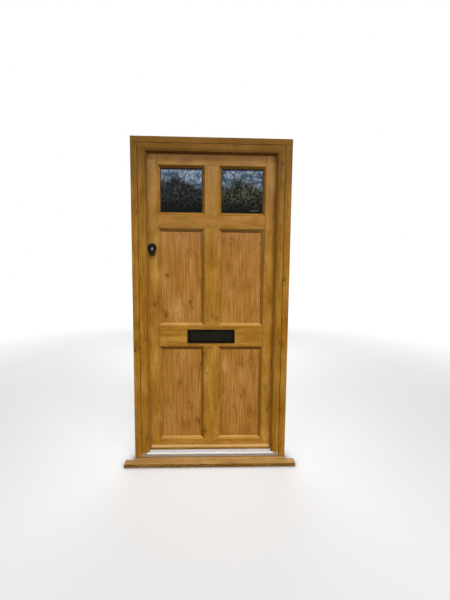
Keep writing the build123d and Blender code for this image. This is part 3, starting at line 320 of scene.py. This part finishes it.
def mill_finish():
    """Drawn aluminium, dusty, with splash marks on the lower part of its front."""
    material, f, shader = new_finish("mill finish aluminium", IOR=1.45, Metallic=0.08)
    x, y, z = f.place().parts()
    drawn = f.noise(f.vector(x * 0.8, y * 60.0, z * 60.0), 9.0, 3.0)
    dust = f.noise(f.vector(x * 3.0, y * 8.0, z * 3.0), 5.0, 4.0).between(0.42, 0.75)
    splash = 1 - (z + dust * 0.004).between(SPLASH_LOW, SPLASH_HIGH)
    shade = f.mix(colour(240, 241, 242), colour(250, 250, 250), drawn)
    shade = f.mix(shade, colour(180, 174, 162), dust * 0.25)
    shade = f.mix(shade, colour(124, 114, 95), splash * 0.82)
    # Painted shade darkens the quirks and corners of the extrusion.
    shade = grime(f, shade, colour(62, 54, 42), QUIRK_REACH, 0.60)
    join(shade, shader, "Base Color")
    join(0.46 + dust * 0.25 + drawn * 0.08, shader, "Roughness")
    relief(f, shader, drawn, 0.15, 0.0002, f.rounded(0.0006))
    return material


def moulded_plastic(name, body, roughness, dusty):
    """A plain moulded plastic or rubber with a fine skin and some dust."""
    material, f, shader = new_finish(name, IOR=1.46, Specular_IOR_Level=0.3)
    place = f.place()
    skin = f.noise(place, 900.0, 2.0)
    dust = f.noise(place, 26.0, 4.0).between(0.40, 0.75) * dusty
    join(f.mix(body, colour(150, 140, 124), dust), shader, "Base Color")
    join(roughness + dust * 0.3, shader, "Roughness")
    relief(f, shader, skin, 0.10, 0.0002, f.rounded(0.0010))
    return material


wear("threshold", mill_finish())
end_block = moulded_plastic("grey end block", colour(158, 142, 118), 0.6, dusty=0.5)
wear("threshold_end_left", end_block)
wear("threshold_end_right", end_block)


# ---- Jambs, head and extension --------------------------------------------------------
# Two jambs with a head lying on them, all of one rebated and moulded section, and three
# square lengths that widen the frame to its opening. Each length is its own board.

FRAME_SEAM = 0.0032
OVOLO_START, OVOLO_END, OVOLO_BULGE = 0.0015, 0.0120, 0.0040
REBATE_FACE = 0.0125

frame_stain = palette(base=(166, 115, 34), pale=(194, 145, 62), dark=(128, 80, 16),
                      seam=(84, 50, 12), deep=(54, 30, 2), sun=(214, 166, 92))
frame_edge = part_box("frame_head")[1]
frame_seams = {"z": (("x", frame_edge.x, FRAME_SEAM),), "x": (("z", frame_edge.z, FRAME_SEAM),)}
for node, along, offset in (
        ("jamb_lock", "z", 0.63), ("jamb_hinge", "z", 1.71), ("frame_head", "x", 2.27),
        ("extension_left", "z", 4.13), ("extension_right", "z", 5.57),
        ("extension_head", "x", 6.29)):
    moulded = None if node.startswith("extension") else (OVOLO_START, OVOLO_END, OVOLO_BULGE)
    stained(node, along, frame_stain, offset, sheltered=0.20, dirt=0.15,
            seams=frame_seams[along], ovolo=moulded, above=(colour(84, 62, 42), 0.48),
            rebate=REBATE_FACE)


# ---- Weather seals --------------------------------------------------------------------
# Soft black rubber lengths, pushed into a groove behind the frame's stop, and one on the
# threshold. They close the gap round the shut leaf.

seal = moulded_plastic("black seal", colour(22, 22, 22), 0.75, dusty=0.12)
wear("frame_seals", seal)
wear("threshold_seal", seal)


# ---- Stiles, rails and muntins --------------------------------------------------------
# Mortised and tenoned members with a moulding worked on their edges. The grain runs along
# each member, so the joints show where it turns.

RAIL_SEAM = 0.0025

leaf_stain = palette(base=(174, 122, 43), pale=(202, 153, 73), dark=(136, 88, 24),
                     seam=(88, 54, 14), deep=(54, 30, 2), sun=(222, 174, 98))
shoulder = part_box("glazing_beads_right")[1].x
member_seams = {"z": (), "x": (("x", shoulder, RAIL_SEAM),)}
for node, along, offset in (
        ("stile_lock", "z", 7.13), ("stile_hinge", "z", 8.39), ("top_rail", "x", 9.41),
        ("mid_rail", "x", 10.57), ("lock_rail", "x", 11.83), ("bottom_rail", "x", 12.71),
        ("muntin_top", "z", 13.37), ("muntin_middle", "z", 14.93), ("muntin_lower", "z", 15.61)):
    stained(node, along, leaf_stain, offset, dirt=0.30, seams=member_seams[along],
            above=(colour(166, 134, 102), 0.34))


# ---- Panels ---------------------------------------------------------------------------
# Four flat veneered boards, loose in their grooves. Their stain is redder than the frame's,
# and their grain has close dark streaks and small knots.

panel_stain = palette(base=(175, 121, 51), pale=(201, 150, 86), dark=(140, 86, 29),
                      deep=(88, 44, 8), sun=(208, 160, 96))
for node, offset in (("panel_middle_left", 16.3), ("panel_middle_right", 17.9),
                     ("panel_lower_left", 19.1), ("panel_lower_right", 20.7)):
    stained(node, "z", panel_stain, offset, knots=0.2, streaks=1.35, swirl=0.35, paws=0.6,
            above=(colour(194, 146, 108), 0.6))


# ---- Glazed lights --------------------------------------------------------------------
# Sealed double glazing, two panes of float glass on a spacer bar, that lies on a black
# gasket. Four mitred timber beads hold it from outside.

BEAD_WIDTH = 0.0160
# The gasket's section: how far it reaches over the pane, and how far it stands proud of it.
GASKET_SECTION = ((0.0, 0.0), (0.0, 0.0026), (0.0008, 0.0030), (0.0032, 0.0030),
                  (0.0041, 0.0024), (0.0044, 0.0012), (0.0044, 0.0))

bead_stain = timber("bead stain", "x", frame_stain, 21.3, knots=0.1, paws=0.0, bleach=0.0)
rubber = moulded_plastic("gasket rubber", colour(16, 15, 14), 0.7, dusty=0.05)


def gasket(side):
    """A rounded black strip all round the pane, flush with the foot of the beads."""
    pane_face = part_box("pane_outer_" + side)[0].y
    beads_low, beads_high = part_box("glazing_beads_" + side)
    x0, x1 = beads_low.x + BEAD_WIDTH, beads_high.x - BEAD_WIDTH
    z0, z1 = beads_low.z + BEAD_WIDTH, beads_high.z - BEAD_WIDTH
    mesh = bmesh.new()
    rows = []
    for inward, proud in GASKET_SECTION:
        y = pane_face - proud
        rows.append([mesh.verts.new(corner) for corner in
                     ((x0 + inward, y, z0 + inward), (x1 - inward, y, z0 + inward),
                      (x1 - inward, y, z1 - inward), (x0 + inward, y, z1 - inward))])
    for first, second in zip(rows, rows[1:] + rows[:1]):
        for corner in range(4):
            after = (corner + 1) % 4
            mesh.faces.new((first[corner], first[after], second[after], second[corner]))
    bmesh.ops.recalc_face_normals(mesh, faces=mesh.faces)
    shape = bpy.data.meshes.new("gasket_" + side)
    mesh.to_mesh(shape)
    mesh.free()
    shape.materials.append(rubber)
    piece = bpy.data.objects.new("gasket_" + side, shape)
    bpy.context.collection.objects.link(piece)
    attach(piece, "leaf")


def window_glass(name, pane, seed, crown, trunk, growth, glints):
    """Float glass that looks dark from outside, with a painted reflection of a winter sky and
    bare trees on it.

    crown is how high the trees in the painted reflection reach, trunk where the nearest one
    stands and growth the colour of what is below them. glints are painted reflections of pale
    streaks: u, v, half width, half height and lean. All are in parts of the pane's width and
    height.
    """
    material, f, shader = new_finish(name, Roughness=0.03, IOR=1.52, Specular_IOR_Level=0.08,
                                     Alpha=0.985)
    low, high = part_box(pane)
    x, _, z = f.place().parts()
    u = (x - low.x) / (high.x - low.x)
    v = (z - low.z) / (high.z - low.z)

    # In the painted reflection, boughs and twigs fan out from the trunk, in front of leaves and
    # cloud.
    warp = f.noise(f.vector(u, v, seed), 3.0, 3.0) - 0.5
    fan = (u - trunk + warp * 0.10) / (v + 0.40)
    ruffle = f.noise(f.vector(u, v, seed + 2.0), 9.0, 3.0, 0.6) - 0.5
    boughs = f.cells(f.vector(fan * 3.6 + ruffle * 0.5, v * 1.8 + seed + ruffle * 0.5),
                     "DISTANCE_TO_EDGE")
    twigs = f.cells(f.vector(fan * 11.0 + ruffle * 1.5, v * 6.5 + seed + ruffle * 1.5),
                    "DISTANCE_TO_EDGE")
    bare = f.math("MAXIMUM", 1 - boughs.between(0.02, 0.07),
                  (1 - twigs.between(0.03, 0.16)) * 0.75)
    leaves = f.noise(f.vector(u * 1.3, v * 0.8, seed + 5.0), 24.0, 4.0, 0.66, 0.5)
    cloud = f.noise(f.vector(u * 1.3, v * 2.6, seed), 2.6, 3.0)
    height = v + warp * 0.30 + ruffle * 0.25 + abs(u - trunk) * 0.34

    # Painted reflection of the sky, above a dark bank of trees and leaves.
    sky = f.mix(colour(92, 118, 150), colour(164, 182, 198), cloud.between(0.36, 0.64))
    bank = f.mix(colour(9, 10, 7), growth, leaves.between(0.42, 0.70) * v.between(0.02, 0.60))
    shade = f.mix(bank, sky, height.between(crown - 0.12, crown + 0.12) * 0.95)
    shade = f.mix(shade, colour(26, 31, 34), bare * v.between(0.25, 0.60) * 0.80)
    # Painted reflections of pale streaks.
    for middle_u, middle_v, half_u, half_v, lean in glints:
        streak = (u + (v - middle_v) * lean).band(middle_u, half_u) * v.band(middle_v, half_v)
        shade = f.mix(shade, colour(150, 154, 146), streak * 0.24)
    # Painted shadow of the top bead: a dark band across the pane just under it.
    under_bead = v.between(0.912, 0.932)
    join(f.mix(shade, colour(7, 6, 4), under_bead * 0.85), shader, "Base Color")
    return material


spacer_finish = moulded_plastic("spacer bar", colour(60, 60, 60), 0.5, dusty=0.0)
clear_glass = new_finish("inner pane", Base_Color=colour(60, 66, 66), Roughness=0.03, IOR=1.52,
                         Alpha=0.25)[0]
for side, seed, crown, trunk, growth, glints in (
        ("left", 1.7, 0.77, 0.34, colour(90, 92, 95),
         ((0.80, 0.655, 0.24, 0.014, 0.0),)),
        ("right", 6.4, 0.74, 0.46, colour(122, 120, 98),
         ((0.54, 0.46, 0.030, 0.15, -0.22), (0.77, 0.105, 0.13, 0.018, 0.0)))):
    wear("glazing_beads_" + side, bead_stain)
    wear("pane_outer_" + side, window_glass("outer pane " + side, "pane_outer_" + side, seed,
                                            crown, trunk, growth, glints))
    wear("pane_inner_" + side, clear_glass)
    wear("glass_spacer_" + side, spacer_finish)
    gasket(side)


# ---- Weather bar ----------------------------------------------------------------------
# A hardwood drip moulding, planted on the foot of the leaf to throw the rain clear of the
# threshold. Its faces that look up are painted paler, as painted light.

stained("weather_bar", "x", sill_stain, 22.9, knots=0.1, paws=0.05, bleach=1.1)


# ---- Letter plate ---------------------------------------------------------------------
# A die-cast plate on each face, powder coated black and bolted through the lock rail. Each
# has a sprung flap on a steel rod, and a plastic sleeve lines the slot between them.

def black_coat(name, body, dusty, sheen, roughness):
    """Black paint with a fine skin and some dust on it."""
    material, f, shader = new_finish(name, IOR=1.5, Specular_IOR_Level=sheen)
    place = f.place()
    skin = f.noise(place, 700.0, 2.0)
    dust = f.noise(place, 30.0, 4.0).between(0.45, 0.8)
    join(f.mix(body, dusty, dust * 0.4), shader, "Base Color")
    join(roughness + dust * 0.25, shader, "Roughness")
    relief(f, shader, skin, 0.12, 0.0002, f.rounded(0.0008))
    return material


def bare_metal(name, low, high, roughness):
    """Plain metal with a faint polish pattern and a softened edge."""
    material, f, shader = new_finish(name, Metallic=1.0)
    place = f.place()
    rub = f.noise(place, 160.0, 3.0)
    tarnish = f.noise(place, 22.0, 3.0)
    join(f.mix(low, high, tarnish), shader, "Base Color")
    join(roughness + rub * 0.16, shader, "Roughness")
    relief(f, shader, rub, 0.08, 0.0001, f.rounded(0.0005))
    return material


coat = black_coat("black powder coat", colour(19, 11, 4), colour(38, 29, 16), 0.05, 0.50)
# The flaps are a paler, greyer black than the plates.
flap_coat = black_coat("rubbed flap", colour(24, 22, 14), colour(46, 43, 33), 0.07, 0.44)
zinc = bare_metal("bright zinc", colour(132, 132, 130), colour(168, 168, 165), 0.28)
for node in ("letter_frame_outer", "letter_frame_inner", "letter_bolts", "flap_rods"):
    wear(node, coat)
for node in ("letter_flap_outer", "letter_flap_inner"):
    wear(node, flap_coat)
wear("letter_sleeve", moulded_plastic("sleeve plastic", colour(30, 30, 30), 0.6, dusty=0.1))
wear("flap_springs", zinc)


# ---- Finger pull and cylinder ---------------------------------------------------------
# A cast pull, lacquered black, clamped by the rim cylinder that shows in its bowl. The
# cylinder is black too, with a painted highlight on the top of its rim, and its plug is
# worn to bare metal round the keyway, where a painted glint is drawn.

def worn_black(name, centre, marks):
    """Black lacquer with marks of painted highlight on it, drawn as bright bare metal.

    Each mark has its place from the centre, its two half widths and how bright it is.
    """
    material, f, shader = new_finish(name, IOR=1.5, Specular_IOR_Level=0.2)
    place = f.place()
    x, _, z = place.parts()
    scratch = f.noise(place, 420.0, 3.0)
    bright = scratch * 0.02
    # Each mark paints a highlight, metallic where it is bright.
    for right, up, wide, tall, strength in marks:
        spot = x.band(centre[0] + right, wide) * z.band(centre[1] + up, tall)
        bright = bright + (spot * (0.75 + scratch * 0.5)).between(0.20, 0.70) * strength
    join(f.mix(colour(13, 16, 19), colour(228, 236, 246), bright), shader, "Base Color")
    join(bright * 0.9, shader, "Metallic")
    join(0.42 - bright * 0.12 + scratch * 0.1, shader, "Roughness")
    return material


wear("cylinder_pull", black_coat("black lacquer", colour(14, 10, 5), colour(26, 22, 16), 0.07,
                                 0.40))
plug_low, plug_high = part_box("cylinder_plug")
axis = ((plug_low.x + plug_high.x) / 2, (plug_low.z + plug_high.z) / 2)
# A painted highlight on the top of the rim, and a painted glint on the keyway.
crescent = (0.0, 0.0135, 0.0120, 0.0026, 0.22)
keyway = (0.0, -0.0008, 0.0027, 0.0075, 1.0)
wear("rim_cylinder", worn_black("worn cylinder", axis, (crescent,)))
wear("cylinder_plug", worn_black("worn plug", axis, (keyway,)))


# ---- Night latch and keep -------------------------------------------------------------
# A cast case on the inner face, with its turn knob, snib and keep in satin nickel, and a
# brass bolt that is sprung outwards.

nickel = bare_metal("satin nickel", colour(118, 115, 108), colour(152, 149, 141), 0.34)
for node in ("latch_case", "latch_keep", "latch_knob", "latch_snib"):
    wear(node, nickel)
wear("latch_bolt", bare_metal("bolt brass", colour(150, 122, 70), colour(184, 156, 100), 0.30))
wear("latch_springs", zinc)


# ---- Hinges and screws ----------------------------------------------------------------
# Three pressed steel butt hinges, zinc plated, let into the jamb and the leaf's edge. Each
# turns on a pin through its five knuckles, and countersunk screws hold its plates.

for place in ("bottom", "middle", "top"):
    wear("hinge_frame_plate_" + place, zinc)
    wear("hinge_leaf_plate_" + place, zinc)
for node in ("hinge_pins", "frame_screws", "leaf_screws"):
    wear(node, zinc)


# ---- Floor, light and camera ----------------------------------------------------------
# A plain pale floor under a white surround, soft light from above, in front and behind,
# and a camera where the photograph was taken from.

FLOOR_SIZE = 60.0
TOUCH_REACH = 0.16
FADE_START, FADE_END = 1.0, 7.0


def background_rays(f):
    """1 for the rays that should find the white surround: seen straight, mirrored or bent."""
    ray = f.node("ShaderNodeLightPath")
    return ray.math("MAXIMUM", ray.math("MAXIMUM", ray.other("Is Camera Ray"),
                                        ray.other("Is Glossy Ray")),
                    ray.other("Is Transmission Ray"))


bpy.ops.mesh.primitive_plane_add(size=FLOOR_SIZE, location=(0.0, 0.0, 0.0))
floor = bpy.context.object
floor.name = "floor"
floor_finish, f, shader = new_finish("pale floor", Roughness=0.9, Specular_IOR_Level=0.0,
                                     Emission_Strength=1.0)
x, y, _ = f.place().parts()
far = f.math("SQRT", x * x + y * y).between(FADE_START, FADE_END)
seen = background_rays(f)
# Painted contact shadow: the floor darkens where the door stands close over it.
touch = f.open_sky(TOUCH_REACH, samples=12).between(0.35, 0.98)
pale = f.mix(colour(112, 108, 102), colour(226, 226, 226), touch)
join(f.mix(colour(112, 110, 106), pale, seen), shader, "Base Color")
glow = f.mix(f.mix((0.02, 0.02, 0.02, 1), (0.30, 0.30, 0.30, 1), touch), (1, 1, 1, 1), far)
join(f.mix((0, 0, 0, 1), glow, seen), shader, "Emission Color")
floor.data.materials.append(floor_finish)

world = bpy.data.worlds.new("studio")
bpy.context.scene.world = world
world.use_nodes = True
background = world.node_tree.nodes["Background"]
background.inputs["Color"].default_value = (1, 1, 1, 1)
join(background_rays(Field(world.node_tree)) * 0.88 + 0.12, background, "Strength")


def lamp(kind, name, place, aim, size, power, cone=60.0):
    """A soft lamp turned towards a point. A spot fades out towards the edge of its cone."""
    light = bpy.data.lights.new(name, kind)
    light.energy = power
    if kind == "SPOT":
        light.shadow_soft_size = size
        light.spot_size = radians(cone)
        light.spot_blend = 1.0
    else:
        light.shape = "SQUARE"
        light.size = size
    holder = bpy.data.objects.new(name, light)
    holder.location = place
    holder.rotation_euler = (Vector(aim) - Vector(place)).to_track_quat("-Z", "Y").to_euler()
    bpy.context.collection.objects.link(holder)


middle = (0.0, 0.0, 1.0)
lamp("SPOT", "sky", (0.5, -4.2, 6.0), (0.0, 0.0, 0.45), 1.6, 1680.0, cone=30.0)
lamp("AREA", "fill left", (-3.0, -4.2, 2.2), middle, 2.0, 58.0)
lamp("AREA", "fill right", (3.1, -4.1, 2.1), middle, 2.0, 95.0)
lamp("AREA", "hall", (0.0, 3.0, 2.6), middle, 2.5, 60.0)

PHOTO_HEIGHT_PX = 600.0
FOCAL_PX = 320.0
SENSOR_MM = 36.0
CAMERA = (0.0215, -2.0643, 1.2878)
PITCH, YAW, ROLL = radians(5.334), radians(1.875), radians(-0.531)
ahead = Vector((sin(YAW) * cos(PITCH), cos(YAW) * cos(PITCH), -sin(PITCH)))
level = Vector((cos(YAW), -sin(YAW), 0.0))
down = ahead.cross(level)
across = level * cos(ROLL) + down * sin(ROLL)
below = down * cos(ROLL) - level * sin(ROLL)
turn = Matrix((across, -below, -ahead)).transposed()
lens = bpy.data.cameras.new("camera")
lens.sensor_fit = "AUTO"
lens.sensor_width = SENSOR_MM
lens.lens = SENSOR_MM * FOCAL_PX / PHOTO_HEIGHT_PX
lens.clip_end = 100.0
camera = bpy.data.objects.new("camera", lens)
camera.matrix_world = Matrix.Translation(CAMERA) @ turn.to_4x4()
bpy.context.collection.objects.link(camera)
bpy.context.scene.camera = camera
bpy.context.scene.view_settings.view_transform = "Standard"
